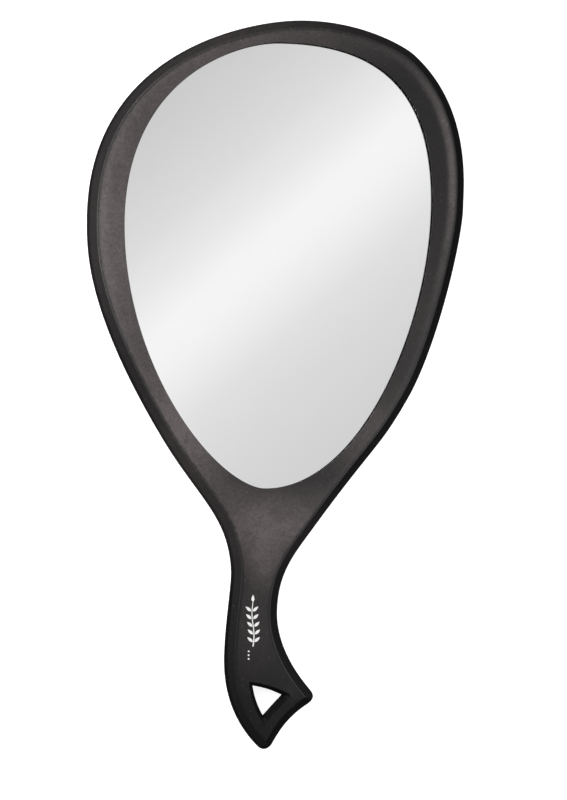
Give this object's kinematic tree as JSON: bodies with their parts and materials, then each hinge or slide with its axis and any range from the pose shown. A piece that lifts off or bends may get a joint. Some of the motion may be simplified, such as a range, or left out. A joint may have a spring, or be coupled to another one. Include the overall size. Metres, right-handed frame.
{
  "type": "hand mirror",
  "caption": "Large teardrop hand mirror with a bevelled plastic frame, a gently curved flat handle and a three-cornered hanging hole in the handle's fish-tail end.",
  "frame": {"origin": "on the flat back, under the middle of the whole outline: the mirror lies on its back", "axes": "+Z out of the mirror's face, +Y along the length from the handle's tail to the top of the head, +X to the right when looking into the mirror"},
  "size_m": [0.1924, 0.369, 0.012],
  "materials": {
    "frame_plastic": "charcoal black moulded plastic, fine-grained soft-touch satin",
    "shell_plastic": "black moulded plastic, fine-grained matte",
    "glass": "clear polished float glass with a faint green edge",
    "silver": "silvering on the back of the glass",
    "film": "grey safety film over the silvering",
    "foam": "off-white closed-cell foam"
  },
  "bodies": {
    "root": {"front_frame": "frame_plastic", "rear_shell": "shell_plastic", "mirror_glass": "glass", "silver_backing": "silver", "safety_film": "film", "foam_pad_1": "foam", "foam_pad_2": "foam", "foam_pad_3": "foam", "foam_pad_4": "foam", "foam_pad_5": "foam", "foam_pad_6": "foam"}
  },
  "joints": []
}
